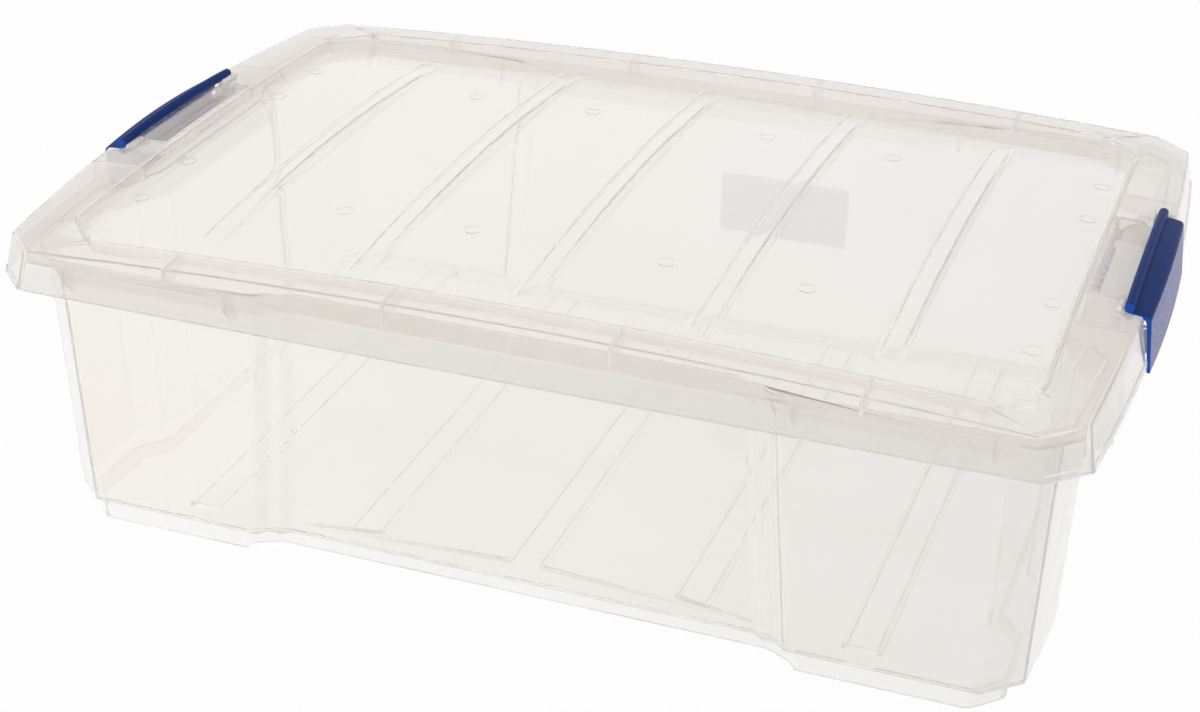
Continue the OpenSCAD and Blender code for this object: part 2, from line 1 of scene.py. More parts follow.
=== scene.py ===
# %% [markdown]
# # A clear storage box that slides under a bed
#
# The real object is three mouldings and a sticker: a shallow tub and a crowned lid of milky clear
# polypropylene, two navy clip handles that swing on pins at the ends, and a blank label on the
# back wall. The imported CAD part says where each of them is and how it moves. This lesson dresses
# that frame: every shell is worked out again with numpy, with the rounded edges and soft steps
# of a moulding, and gets a see-through finish made of nodes.

import bmesh
import bpy
import numpy as np
from mathutils.geometry import delaunay_2d_cdt
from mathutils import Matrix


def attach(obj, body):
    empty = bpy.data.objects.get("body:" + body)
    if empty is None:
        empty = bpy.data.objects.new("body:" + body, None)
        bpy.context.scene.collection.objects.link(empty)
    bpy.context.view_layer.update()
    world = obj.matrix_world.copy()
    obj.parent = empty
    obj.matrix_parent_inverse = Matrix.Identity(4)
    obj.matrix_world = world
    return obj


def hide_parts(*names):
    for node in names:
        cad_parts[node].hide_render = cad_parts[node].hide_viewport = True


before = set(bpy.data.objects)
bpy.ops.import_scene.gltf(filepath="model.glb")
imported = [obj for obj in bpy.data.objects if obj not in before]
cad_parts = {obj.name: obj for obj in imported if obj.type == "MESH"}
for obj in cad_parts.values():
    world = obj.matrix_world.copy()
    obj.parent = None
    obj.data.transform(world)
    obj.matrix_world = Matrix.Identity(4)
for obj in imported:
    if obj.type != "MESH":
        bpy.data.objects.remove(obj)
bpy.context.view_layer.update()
scene = bpy.context.scene
MM = 0.001

# %% [markdown]
# ## Camera
#
# The box is seen from in front, a little to the right and from above. A long lens keeps the
# perspective calm. The small shift frames the box without turning the camera.

# %% Camera
lens = bpy.data.cameras.new("camera")
lens.lens = 66.22
lens.sensor_width = 36.0
lens.shift_x = 0.0150
lens.shift_y = -0.0065
lens.clip_start = 0.05
lens.clip_end = 50.0
camera = bpy.data.objects.new("camera", lens)
camera.location = (0.37270, -1.06563, 0.65934)
camera.rotation_euler = np.radians((62.3715, -0.4601, 20.7413))
scene.collection.objects.link(camera)
scene.camera = camera
print("camera at", [round(v, 3) for v in camera.location], "lens", round(lens.lens, 1), "mm")

# %% [markdown]
# ## Node maker
#
# Shader maths reads best as plain sums. `Term` wraps a socket, and each operator on it adds the
# Math node it stands for. `Finish` makes a material, and its one method `node` adds any other
# node from its type, its settings and the values or links of its sockets.


# %% Sums of sockets and a maker of nodes
class Term:
    """A socket that can be used in a sum, a product, a power or a quotient."""

    def __init__(self, finish, socket):
        self.finish, self.socket = finish, socket

    def math(self, operation, *values):
        return self.finish.node("ShaderNodeMath", {"operation": operation}, dict(enumerate(values)))

    def __add__(self, other):
        return self.math("ADD", self, other)

    def __radd__(self, other):
        return self.math("ADD", other, self)

    def __sub__(self, other):
        return self.math("SUBTRACT", self, other)

    def __rsub__(self, other):
        return self.math("SUBTRACT", other, self)

    def __mul__(self, other):
        return self.math("MULTIPLY", self, other)

    def __rmul__(self, other):
        return self.math("MULTIPLY", other, self)

    def __truediv__(self, other):
        return self.math("DIVIDE", self, other)

    def __rtruediv__(self, other):
        return self.math("DIVIDE", other, self)

    def __pow__(self, other):
        return self.math("POWER", self, other)

    def __rpow__(self, other):
        return self.math("POWER", other, self)


class Finish:
    """A node tree of a material or of the world."""

    def __init__(self, owner):
        owner.use_nodes = True
        self.owner, self.tree = owner, owner.node_tree
        self.tree.nodes.clear()

    def node(self, kind, settings=None, inputs=None, output=0):
        """Adds a node: its settings first, then its sockets, each a number, a tuple or a Term."""
        made = self.tree.nodes.new(kind)
        for key, value in (settings or {}).items():
            if key == "stops":
                ramp = made.color_ramp.elements
                while len(ramp) < len(value):
                    ramp.new(0.5)
                for element, (place, colour) in zip(ramp, value):
                    element.position, element.color = place, (*colour, 1.0)
            else:
                setattr(made, key, value)
        for key, value in (inputs or {}).items():
            if isinstance(value, Term):
                self.tree.links.new(value.socket, made.inputs[key])
            else:
                made.inputs[key].default_value = value
        return Term(self, made.outputs[output]) if len(made.outputs) else made


def grey(value):
    """A colour with the same value in each channel."""
    return (value, value, value, 1.0)


print("node maker ready")

# %% [markdown]
# ## Studio
#
# A plain white room: a world that lights evenly from all sides, two large soft lamps that give
# the walls their gentle shading, and a white floor. Light Path makes the room plain white to the
# eye and in reflections, and the floor still takes a soft shadow from the box.

# %% World, floor and lamps
WORLD_LIGHT = 0.84
SHADOW_SHARE = 0.1


def looked_at(f):
    """1 for rays from the eye, by reflection or through clear plastic, and 0 for rays that light."""
    eye, gloss, glass = (f.node("ShaderNodeLightPath", output=f"Is {kind} Ray")
                         for kind in ("Camera", "Glossy", "Transmission"))
    either = f.node("ShaderNodeMath", {"operation": "MAXIMUM"}, {0: eye, 1: gloss})
    return f.node("ShaderNodeMath", {"operation": "MAXIMUM"}, {0: either, 1: glass})


world = bpy.data.worlds.new("studio")
scene.world = world
room = Finish(world)
sky = room.node("ShaderNodeBackground", inputs={
    "Color": grey(1.0), "Strength": WORLD_LIGHT + looked_at(room) * (1.0 - WORLD_LIGHT)})
room.node("ShaderNodeOutputWorld", inputs={"Surface": sky})

floor_mesh = bpy.data.meshes.new("floor")
floor_mesh.from_pydata([(-8, -8, 0), (8, -8, 0), (8, 8, 0), (-8, 8, 0)], [], [(0, 1, 2, 3)])
floor = bpy.data.objects.new("floor", floor_mesh)
floor.location = (0, 0, -0.0004)
scene.collection.objects.link(floor)
paint = Finish(bpy.data.materials.new("white_floor"))
lit = paint.node("ShaderNodeBsdfDiffuse", inputs={"Color": grey(0.97)})
white = paint.node("ShaderNodeEmission", inputs={"Color": grey(1.0), "Strength": 1.0})
both = paint.node("ShaderNodeMixShader", inputs={0: looked_at(paint) * (1.0 - SHADOW_SHARE), 1: lit, 2: white})
paint.node("ShaderNodeOutputMaterial", inputs={"Surface": both})
floor_mesh.materials.append(paint.owner)


def lamp(name, place, aim, size, watts):
    """A square soft lamp at place that looks at aim."""
    data = bpy.data.lights.new(name, "AREA")
    data.shape, data.size, data.energy = "SQUARE", size, watts
    made = bpy.data.objects.new(name, data)
    made.location = place
    direction = np.array(aim, float) - np.array(place, float)
    flat = np.hypot(direction[0], direction[1])
    heading = np.arctan2(direction[1], direction[0])
    made.rotation_euler = (np.arctan2(flat, -direction[2]), 0.0, heading - np.pi / 2)
    made.visible_camera = made.visible_glossy = made.visible_transmission = False
    scene.collection.objects.link(made)
    return made


lamp("key_lamp", (-1.4, -1.9, 0.8), (0, 0, 0.1), 1.6, 9.0)
lamp("back_lamp", (1.2, 1.5, 1.7), (0, 0, 0.1), 1.4, 3.0)
scene.cycles.max_bounces = 32
scene.cycles.glossy_bounces = 24
scene.cycles.diffuse_bounces = 8
scene.cycles.transmission_bounces = 24
scene.cycles.transparent_max_bounces = 48
scene.view_settings.view_transform = "Standard"

# %% [markdown]
# ## Outlines and rings
#
# A moulded shell is an outline seen from above that changes as it rises. An outline is drawn by
# its first quarter and mirrored. Its corners are rounded with short Bezier arcs, and the same
# arcs, used from ring to ring, round the edges between floor, wall and rim. Carried upward, the
# rings are the surface.


# %% Outline helpers
def whole(quarter):
    """The four mirrored copies of a first quarter, counterclockwise."""
    q = np.asarray(quarter, float)
    return np.concatenate([q, q[::-1] * (-1, 1), -q, q[::-1] * (1, -1)])


def inset(ring, t):
    """Each corner moves inward along both of its edges' normals: p + t (u + v) / (1 + u.v)."""
    before, after = ring - np.roll(ring, 1, 0), np.roll(ring, -1, 0) - ring
    u = np.stack([-before[:, 1], before[:, 0]], 1) / np.linalg.norm(before, axis=1)[:, None]
    v = np.stack([-after[:, 1], after[:, 0]], 1) / np.linalg.norm(after, axis=1)[:, None]
    return ring + np.reshape(t, (-1, 1)) * (u + v) / (1.0 + (u * v).sum(1))[:, None]


def bezier(a, b, c, n):
    """n points of the curve (1-t)^2 a + 2t(1-t) b + t^2 c, along a new first axis."""
    t = np.linspace(0.0, 1.0, n).reshape((n,) + (1,) * np.ndim(a))
    return (1 - t) ** 2 * a + 2 * t * (1 - t) * b + t**2 * c


def rounded(ring, cut, n=4):
    """Each corner becomes a Bezier arc that starts and ends cut away from it."""
    before, after = np.roll(ring, 1, 0) - ring, np.roll(ring, -1, 0) - ring
    la = np.linalg.norm(before, axis=1, keepdims=True)
    lb = np.linalg.norm(after, axis=1, keepdims=True)
    cut = np.reshape(cut, (-1, 1))
    start = ring + before * np.minimum(cut / la, 0.45)
    end = ring + after * np.minimum(cut / lb, 0.45)
    arcs = bezier(start, ring, end, n)
    return arcs.transpose(1, 0, 2).reshape(-1, ring.shape[1])


def edged(rings, cuts, n=4):
    """Rings of 3D points with a Bezier arc in place of each inner ring, point by point."""
    rings = np.stack(rings)
    a, b, c = rings[:-2], rings[1:-1], rings[2:]
    cuts = np.reshape(cuts, (-1, 1, 1))
    la = np.linalg.norm(a - b, axis=2, keepdims=True)
    lb = np.linalg.norm(c - b, axis=2, keepdims=True)
    arcs = bezier(b + (a - b) * np.minimum(cuts / la, 0.45), b, b + (c - b) * np.minimum(cuts / lb, 0.45), n)
    arcs = arcs.transpose(1, 0, 2, 3).reshape(-1, *rings.shape[1:])
    return np.concatenate([rings[:1], arcs, rings[-1:]])


def lifted(ring, z):
    """A flat ring at height z, which may differ from point to point."""
    return np.column_stack([ring, np.broadcast_to(z, len(ring))])


def smooth(t):
    """The soft step 3t^2 - 2t^3 from 0 to 1."""
    t = np.clip(t, 0.0, 1.0)
    return t * t * (3.0 - 2.0 * t)


print("outline helpers ready")

# %% [markdown]
# ## Surfaces
#
# `skin` turns a stack of rings into faces. `sheet` fills a flat region with triangles through
# given lines and points, and lifts each point to a height, so ribs and recesses are just a
# function of x and y. `solid` welds such parts into one closed piece, and prints its open edges
# and its signed volume. A mesh can be closed and still have a part inside out, which no picture
# of solid plastic shows: then the volume is too small, or negative.


# %% Surface helpers
def skin(rings, closed=False):
    """Quads between each ring and the next, and with closed from the last back to the first."""
    count, n = rings.shape[:2]
    k = np.arange(count if closed else count - 1)[:, None]
    i = np.arange(n)[None, :]
    a, b = k * n, (k + 1) % count * n
    j = (i + 1) % n
    quads = np.stack([a + i, a + j, b + j, b + i], -1).reshape(-1, 4)
    return rings.reshape(-1, 3), quads.tolist()


def cap(ring, up=True):
    """One flat face over a ring that runs counterclockwise."""
    order = list(range(len(ring)))
    return np.asarray(ring, float), [order if up else order[::-1]]


def closed_skin(rings):
    """Skin and both end faces. They face outward if each ring runs counterclockwise seen from the last."""
    return [skin(rings), cap(rings[0], up=False), cap(rings[-1])]


def along(ring, step):
    """Points on the closed line through ring, step apart: each coordinate against the way travelled."""
    line = np.concatenate([ring, ring[:1]])
    way = np.concatenate([[0.0], np.cumsum(np.linalg.norm(np.diff(line, axis=0), axis=1))])
    stops = np.arange(0.0, way[-1], step)
    return np.stack([np.interp(stops, way, line[:, 0]), np.interp(stops, way, line[:, 1])], 1)


def far_from(points, line, gap):
    """The points that lie more than gap from every point of line."""
    keep = np.ones(len(points), bool)
    for part in np.array_split(np.arange(len(points)), max(1, len(points) // 400)):
        d = np.linalg.norm(points[part, None] - line[None], axis=2).min(1)
        keep[part] = d > gap
    return points[keep]


def inside(points, ring):
    """True where a line from the point towards +X crosses the ring an odd number of times."""
    x, y = points[:, :1], points[:, 1:]
    (xa, ya), (xb, yb) = ring.T, np.roll(ring, -1, 0).T
    level = np.where(ya == yb, 1.0, yb - ya)
    crossing = ((ya > y) != (yb > y)) & (x < xa + (y - ya) * (xb - xa) / level)
    return crossing.sum(1) % 2 == 1


def grid(xs, ys):
    """All points of a grid of the given lines."""
    x, y = np.meshgrid(xs, ys, indexing="ij")
    return np.stack([x.ravel(), y.ravel()], 1)


def sheet(rim, lines, patches, spacing, height, up=True):
    """Triangles inside rim, through the closed lines and the points of the patches, lifted to height(x, y)."""
    fine = np.concatenate([along(r, 1.0) for r in [rim, *lines]])
    patches = [far_from(p, along(rim, 1.0), 0.7) for p in patches]
    half = np.abs(rim).max(0)
    loose = grid(np.arange(-half[0], half[0], spacing), np.arange(-half[1], half[1], spacing))
    loose = far_from(loose[inside(loose, rim)], np.concatenate([fine, *patches]), spacing * 0.45)
    points = np.concatenate([rim, *lines, *patches, loose])
    starts = np.cumsum([0] + [len(r) for r in [rim, *lines]])
    edges = [(int(s + i), int(s + (i + 1) % len(r)))
             for s, r in zip(starts, [rim, *lines]) for i in range(len(r))]
    flat, _, faces, *_ = delaunay_2d_cdt([tuple(p) for p in points], edges, [], 1, 1e-5, False)
    flat = np.array([(p[0], p[1]) for p in flat])
    faces = np.array(faces)
    faces = faces[inside(flat[faces].mean(1), rim)]
    return lifted(flat, height(flat[:, 0], flat[:, 1])), (faces if up else faces[:, ::-1]).tolist()


def solid(name, parts, body, node=None, smooth_angle=38.0):
    """One mesh object from parts of (points in mm, faces), with equal points welded."""
    points = np.concatenate([p for p, _ in parts]) * MM
    shift = np.cumsum([0] + [len(p) for p, _ in parts])
    faces = [[i + int(s) for i in f] for s, (_, part) in zip(shift, parts) for f in part]
    mesh = bpy.data.meshes.new(name)
    mesh.from_pydata(points.tolist(), [], faces)
    work = bmesh.new()
    work.from_mesh(mesh)
    bmesh.ops.remove_doubles(work, verts=work.verts, dist=4e-6)
    open_edges = sum(len(e.link_faces) != 2 for e in work.edges)
    volume = work.calc_volume(signed=True) / MM**3 / 1000
    work.to_mesh(mesh)
    work.free()
    mesh.polygons.foreach_set("use_smooth", np.ones(len(mesh.polygons), bool))
    mesh.set_sharp_from_angle(angle=np.radians(smooth_angle))
    piece = bpy.data.objects.new(name, mesh)
    scene.collection.objects.link(piece)
    weighted = piece.modifiers.new("even_shading", "WEIGHTED_NORMAL")
    weighted.keep_sharp = True
    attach(piece, body)
    if node:
        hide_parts(node)
    print(f"{name}: {len(mesh.polygons)} faces, {open_edges} open edges, {volume:.2f} cubic cm")
    return piece


print("surface helpers ready")

# %% [markdown]
# ## Sizes
#
# All sizes are in millimetres, the same ones that the CAD part is built from. The floor is z = 0
# and the box is centred, so a quarter outline describes every ring.

# %% Main sizes
WALL = 2.0
FLOOR_Z, RIM_Z, COLLAR_Z = 10.2, 161.9, 147.9
LID_Z, SKIRT_Z, TUB_H = 168.2, 146.6, 151.7
LID_L, LID_W = 569.8, 383.0
SKIRT_SLOPE = 3.8 / 21.6

# %% [markdown]
# ## Tub
#
# The tub's walls step inward around a set-back middle panel, on the long sides by two small
# steps and at the ends by two deep ones, and they lean in towards the floor. Near the top they
# flare into a collar that carries a flat flange. One section carried round the outline makes all
# of that, inside and outside, and two sheets close the floor with its five raised bands.


# %% Outlines of the tub
def bow(d, h):
    """Share of a side's outward bow that is left at distance d from its middle."""
    return 1.0 - (d / h) ** 2


def tub_ring(z, out=0.0, cut=1.3, n=4):
    """Outside of the walls at height z, moved outward by out, with its corners rounded."""
    down = (RIM_Z - z) / TUB_H
    hl, hw = 272.5 - 4.8 * down, 178.8 - 3.6 * down
    side_y = hw - 17.0
    end_x = hl + 6.6 * bow(96.0, side_y)
    mid_y = (96.0 + side_y) / 2
    px = 138.0 + 11.0 * down
    ring = whole([
        (end_x - 20.0, 61.0), (end_x - 11.0, 79.0), (end_x - 11.0, 83.0), (end_x, 96.0),
        (hl + 6.6 * bow(mid_y, side_y), mid_y), (hl, side_y), (hl - 19.0, hw),
        (px, hw), (px - 5.5, hw - 5.2), (px - 12.5, hw - 5.2), (px - 18.0, hw - 9.2)])
    return rounded(inset(ring, -out), cut, n)


def lid_quarter(out):
    """First quarter of the lid's outline, moved outward by out, with its bowed sides."""
    hl, hw = LID_L / 2 + out, LID_W / 2 + out
    side_y, side_x = hw - 18.2, hl - 19.5
    y = side_y * (np.arange(6) + 0.5) / 5.5
    x = (side_x * (np.arange(5) + 0.5) / 4.5)[::-1]
    return np.concatenate([np.stack([hl + 8.8 * bow(y, side_y), y], 1),
                           np.stack([x, hw + 0.8 * bow(x, side_x)], 1)])


def flange_ring(t=0.0, cut=2.0, n=4):
    """Edge of the tub's flange, a running gap inside the lid's skirt, moved inward by t."""
    return rounded(inset(whole(lid_quarter(SKIRT_SLOPE * (LID_Z - RIM_Z))), 3.4 + t), cut, n)


print("tub outline at the rim has", len(tub_ring(RIM_Z)), "points")

# %% [markdown]
# The five bands across the floor are 20 mm wide and stand 2.2 mm proud inside. Underneath they
# are hollow, as in any moulding of even thickness, so the same height function draws both skins.

# %% Floor bands and the tub's shell
BAND_X = np.arange(-2, 3) * 93.0
BAND_W, BAND_L = 10.0, 162.0


def band_mask(x, y, shrink):
    """1 on a band and 0 beside it, with soft edges 1.6 mm wide."""
    mask = np.zeros_like(x)
    for middle in BAND_X:
        across = smooth((BAND_W - shrink + 0.8 - np.abs(x - middle)) / 1.6)
        mask = np.maximum(mask, across * smooth((BAND_L - shrink + 0.8 - np.abs(y)) / 1.6))
    return mask


def band_patches(shrink):
    """Grid lines that follow the edges of the bands, for the triangles of the floor."""
    steps = np.array([-1.6, -0.8, -0.3, 0.3, 0.8, 1.6])
    ys = np.concatenate([-(BAND_L - shrink) + steps, np.linspace(-150, 150, 21), BAND_L - shrink + steps])
    xs = np.concatenate([-BAND_W + shrink + steps, [0.0], BAND_W - shrink + steps])
    return [grid(m + xs, ys) for m in BAND_X]


tub_section = edged([
    lifted(tub_ring(FLOOR_Z, -9.0), FLOOR_Z),
    lifted(tub_ring(FLOOR_Z), FLOOR_Z),
    lifted(tub_ring(COLLAR_Z), COLLAR_Z),
    lifted(tub_ring(RIM_Z, 4.7), RIM_Z - WALL),
    lifted(flange_ring(), RIM_Z - WALL),
    lifted(flange_ring(), RIM_Z),
    lifted(tub_ring(RIM_Z, 3.5), RIM_Z),
    lifted(tub_ring(COLLAR_Z, -WALL), COLLAR_Z),
    lifted(tub_ring(FLOOR_Z, -WALL), FLOOR_Z + WALL),
    lifted(tub_ring(FLOOR_Z, -9.0), FLOOR_Z + WALL),
], [1.6, 2.0, 0.8, 0.4, 0.4, 1.0, 2.0, 1.2])
tub_parts = [
    skin(tub_section),
    sheet(tub_section[0, :, :2], [], band_patches(WALL), 24.0,
          lambda x, y: FLOOR_Z + 2.2 * band_mask(x, y, WALL), up=False),
    sheet(tub_section[-1, :, :2], [], band_patches(0.0), 24.0,
          lambda x, y: FLOOR_Z + WALL + 2.2 * band_mask(x, y, 0.0)),
]
tub = solid("tub_shell", tub_parts, "tub_body", "tub")

# %% [markdown]
# ## Feet, gussets and hinge ears
#
# Under the floor runs a thin ring. It follows the outline, touches the ground at the four
# corners and is cut back between them. Small plates brace the flange on the long sides, and two
# pierced ears at each end carry the pins of a clip.


# %% Foot ring
def foot_outline(t):
    """Outside of the foot ring moved inward by t, with points close together."""
    ring = whole([(245.0, 101.0), (259.0, 118.0), (259.0, 158.5), (243.5, 174.0),
                  (155.0, 174.0), (138.0, 165.4)])
    ring = rounded(inset(ring, t), 3.0, 4)
    steps = np.linspace(0, 1, 6, endpoint=False)[None, :, None]
    return (ring[:, None] + steps * (np.roll(ring, -1, 0) - ring)[:, None]).reshape(-1, 2)


def foot_low(ring):
    """Height of the lower edge: 0 under the corners and 3.2 mm in between, with slanted ends."""
    x, y = np.abs(ring).T
    return np.clip(np.maximum(155.0 - x, 118.0 - y), 0.0, 3.2)


foot_rings = []
for t, top in [(0.0, 1), (0.0, 0), (2.2, 0), (2.2, 1)]:
    ring = foot_outline(t)
    foot_rings.append(lifted(ring, FLOOR_Z + 1.0 if top else foot_low(foot_outline(0.0))))
foot_rings = np.stack(foot_rings)[::-1]
feet = solid("foot_ring", [skin(foot_rings, closed=True)], "tub_body", None)


# %% Plates for gussets and ears
def plate(outline, thickness, soft=0.4):
    """A flat plate over a counterclockwise outline, with softened edges, as rings of 3D points."""
    levels = [(-1, soft), (-1, 0.0), (1, 0.0), (1, soft)]
    rings = [lifted(inset(outline, t), s * (thickness / 2 - (soft if t == 0 else 0))) for s, t in levels]
    return np.stack(rings)


def placed(part, right, up, origin):
    """A part drawn in its own plane, moved: x goes along right, y along up, z along right x up."""
    points, faces = part
    right, up = np.array(right, float), np.array(up, float)
    frame_axes = np.stack([right, up, np.cross(right, up)])
    return points @ frame_axes + np.array(origin, float), faces


def closed_plate(outline, thickness, soft=0.4):
    """All faces of a plate, as one list of parts."""
    return closed_skin(plate(np.asarray(outline, float), thickness, soft))


gusset_parts = []
gusset = [(177.6, 143.9), (181.6, 143.9), (188.9, 151.9), (188.9, 161.0), (183.1, 161.0), (178.0, 148.4)]
for side in (1, -1):
    for x in (-245.0, -150.0, 150.0, 245.0):
        outline = np.array(gusset) if side > 0 else np.array(gusset)[::-1] * (-1, 1)
        for part in closed_plate(rounded(outline, 0.8, 3), 2.0):
            gusset_parts.append(placed(part, (0, 1, 0), (0, 0, 1), (x, 0, 0)))
gussets = solid("rim_gussets", gusset_parts, "tub_body", None)

PIN_X, PIN_Z = 291.5, 148.2


def ear_parts(side, y):
    """One pierced ear of a hinge, as quads between its bore and its outline round the pin.

    The outline's distance from the pin is the nearest of an upright side at 3.2 mm, the flange at
    12.4 mm and a web that slopes at 40 degrees and clears the plate when the clip is swung out.
    """
    turn = np.radians(np.arange(0, 360, 10))
    bore = np.stack([1.95 * np.cos(turn), 1.95 * np.sin(turn)], 1)
    lean = np.radians(230.0)
    side_at, top_at, web_at = (reach / np.maximum(v, reach / 99.0) for reach, v in (
        (3.2, np.cos(turn)), (12.4, np.sin(turn)), (3.2, np.cos(turn - lean))))
    far = np.where(turn < lean, np.minimum(np.minimum(side_at, top_at), web_at), 3.2)
    outer = np.stack([np.maximum(far * np.cos(turn), -16.3), far * np.sin(turn)], 1)
    rings = np.stack([lifted(bore, 1.5), lifted(outer, 1.5), lifted(outer, -1.5), lifted(bore, -1.5)])
    return placed(skin(rings[::-1], closed=True), (side, 0, 0), (0, 0, 1), (side * PIN_X, y, PIN_Z))


ears = solid("hinge_ears", [ear_parts(s, y) for s in (1, -1) for y in (-47.5, 47.5)],
             "tub_body", None)

# %% [markdown]
# ## Lid
#
# The lid is one crowned surface: highest in the middle and a little lower towards every edge.
# Everything on it is a height above or below that crown. The recessed panel lies 8 mm lower
# inside soft walls, five arched ribs rise from it, and at each end a finger pocket and two
# stops sit beside the notch for a clip. The underside is the same function with each form
# grown by the wall's thickness, so the lid is evenly 2 mm thick.

# %% Heights of the lid
CROWN_L = (265.4**2 + 7.5**2) / 15.0
CROWN_W = (173.3**2 + 6.4**2) / 12.8
CROWN_TOP = LID_Z + 7.5 + CROWN_W - np.sqrt(CROWN_W**2 - 191.5**2)
RIB_X = np.arange(-2, 3) * 91.5
RECESS_D, RIB_RISE = 8.0, 4.5
RIB_HALF = np.array([145.0, 158.0, 158.0, 158.0, 145.0])
SEAT_X, SEAT_Z, NOTCH_Y = 281.3, LID_Z + 5.0, 63.6
POCKET_X, POCKET_Y, POCKET_D = SEAT_X - 18.0, 48.0, 7.0
RECESS_L, RECESS_W, RECESS_CUT = 258.0, 172.0, 151.0
RIB_W, MARK_R, MARK_D = 6.75, 4.6, 0.2
MARKS = np.concatenate([grid([-246.0, 246.0], [-106.0, -55.0, 55.0, 106.0]),
                        grid([-129.0, -54.0, 54.0, 129.0], [-91.0, 91.0])])


def crown(x, y):
    """Height of the crown: a circle along the length whose radius follows a circle across the width."""
    return CROWN_TOP - CROWN_L + np.sqrt((CROWN_L - CROWN_W + np.sqrt(CROWN_W**2 - y**2)) ** 2 - x**2)


def recess_depth_at(x, y):
    """Distance inside the outline of the recessed panel, a rectangle with bevelled corners."""
    ax, ay = np.abs(x), np.abs(y)
    bevel = (RECESS_L + RECESS_CUT - ax - ay) / np.sqrt(2.0)
    return np.minimum(np.minimum(RECESS_L - ax, RECESS_W - ay), bevel)


def fall(middle, y):
    """Height of the crown at y over its height at mid width, along the rib at middle: never above 0."""
    return crown(middle, y) - crown(middle, 0.0)


def rib_rise(x, y):
    """Rise of the ribs above the panel: arches across the width, highest at y = 0."""
    rise = np.zeros_like(x)
    for middle, half in zip(RIB_X, RIB_HALF):
        sag = RIB_RISE - fall(middle, half)
        r = (half**2 + sag**2) / (2 * sag)
        arch = RIB_RISE - r + np.sqrt(np.maximum(r**2 - np.minimum(np.abs(y), half) ** 2, 0)) - fall(middle, y)
        rise = np.where(np.abs(x - middle) < 12.0, np.maximum(arch, 0.0) * (np.abs(y) < half), rise)
    return rise


def rib_mask(x, shrink):
    """1 over a rib and 0 beside it, with soft edges 1.8 mm wide."""
    away = np.abs(x[:, None] - RIB_X[None]).min(1)
    return smooth((RIB_W - shrink + 0.9 - away) / 1.8)


def lid_top(x, y):
    """Upper surface of the lid: the crown with its forms, less a shallow groove round every mark."""
    ax, ay = np.abs(x), np.abs(y)
    base = crown(x, y)
    z = base - RECESS_D * smooth((recess_depth_at(x, y) + 0.6) / 3.8)
    ring = np.abs(np.hypot(x[:, None] - MARKS[:, 0], y[:, None] - MARKS[:, 1]) - MARK_R).min(1)
    z = z - MARK_D * smooth(1.0 - ring / 0.45)
    z = z + rib_rise(x, y) * rib_mask(x, 0.0)
    pocket = smooth((ax - POCKET_X + 0.2) / 1.2) * smooth((POCKET_Y + 0.2 - ay) / 1.2)
    z = z - POCKET_D * pocket
    seat = smooth((ax - SEAT_X + 0.6) / 0.8) * smooth((NOTCH_Y - 0.2 - ay) / 0.8)
    z = z + (SEAT_Z - z) * seat
    stop = smooth((ax - 277.8) / 0.8) * smooth((SEAT_X + 0.1 - ax) / 0.8)
    stop = stop * smooth((ay - POCKET_Y + 0.2) / 0.8) * smooth((NOTCH_Y - 0.1 - ay) / 0.8)
    return z + np.maximum(SEAT_Z + 3.2 - z, 0.0) * stop


def lid_under(x, y):
    """Lower surface of the lid."""
    ax, ay = np.abs(x), np.abs(y)
    z = crown(x, y) - WALL - RECESS_D * smooth((recess_depth_at(x, y) + WALL + 0.6) / 3.8)
    z = z + rib_rise(x, y) * rib_mask(x, WALL)
    pocket = smooth((ax - POCKET_X + WALL + 0.2) / 1.2) * smooth((POCKET_Y + WALL + 0.2 - ay) / 1.2)
    return np.minimum(z, crown(x, y) - WALL - POCKET_D * pocket)


panel_height = float(lid_top(np.array([45.0]), np.array([0.0]))[0])
print("crown", round(CROWN_TOP, 1), "mm; panel", round(panel_height, 1), "mm")

# %% [markdown]
# Seen from above, the lid's outline turns inward at each notch: along a cheek, along the wall
# that the clip's rod lies on, and out along the other cheek. The skirt hangs from that line. It
# is short at the notch, where the tub's flange passes under it, and full everywhere else.

# %% Notched outline of the lid
def lid_path(z):
    """Quarter points of the notched outline, one row each, at heights z of the same shape (18,)."""
    out = SKIRT_SLOPE * (LID_Z - z)
    hl, hw = LID_L / 2 + out, LID_W / 2 + out
    side_y, side_x = hw - 18.2, hl - 19.5
    corner_x = hl + 8.8 * bow(NOTCH_Y, side_y)
    n = np.arange(18)
    x, y = np.empty(18), np.empty(18)
    x[:5], y[:5] = SEAT_X + WALL, (6.0, 20.0, 34.0, 47.0, NOTCH_Y)
    x[5], x[6], x[7] = corner_x[5] - 2.9, corner_x[6] - 2.5, corner_x[7]
    y[5:8] = NOTCH_Y
    share = (n[8:13] - 7) / 5.0
    y[8:13] = NOTCH_Y + share * (side_y[8:13] - NOTCH_Y)
    x[8:13] = hl[8:13] + 8.8 * bow(y[8:13], side_y[8:13])
    side = (17.5 - n[13:]) / 4.5
    x[13:] = side * side_x[13:]
    y[13:] = hw[13:] + 0.8 * bow(x[13:], side_x[13:])
    return np.stack([x, y], 1)


LOW = np.where(np.arange(18) < 6, RIM_Z + 0.2, SKIRT_Z)
SOFT = np.array([3, 3, 3, 3, 0.5, 0.1, 0.1, 0.9, 3, 3, 3, 3, 2, 2, 3, 3, 3, 3.0])
BEAD = np.where(np.arange(18) < 7, 0.0, 0.7)
THIN = np.where(np.arange(18) < 5, 0.9, np.where(np.arange(18) < 9, 2.0, 2.6))
HIGH = lid_top(*lid_path(np.full(18, 173.0)).T)
UNDER = lid_under(*inset(whole(lid_path(np.full(18, 171.0))), WALL)[:18].T)


def around(values):
    """A value of each point of the quarter, for all four quarters."""
    return np.concatenate([values, values[::-1], values, values[::-1]])


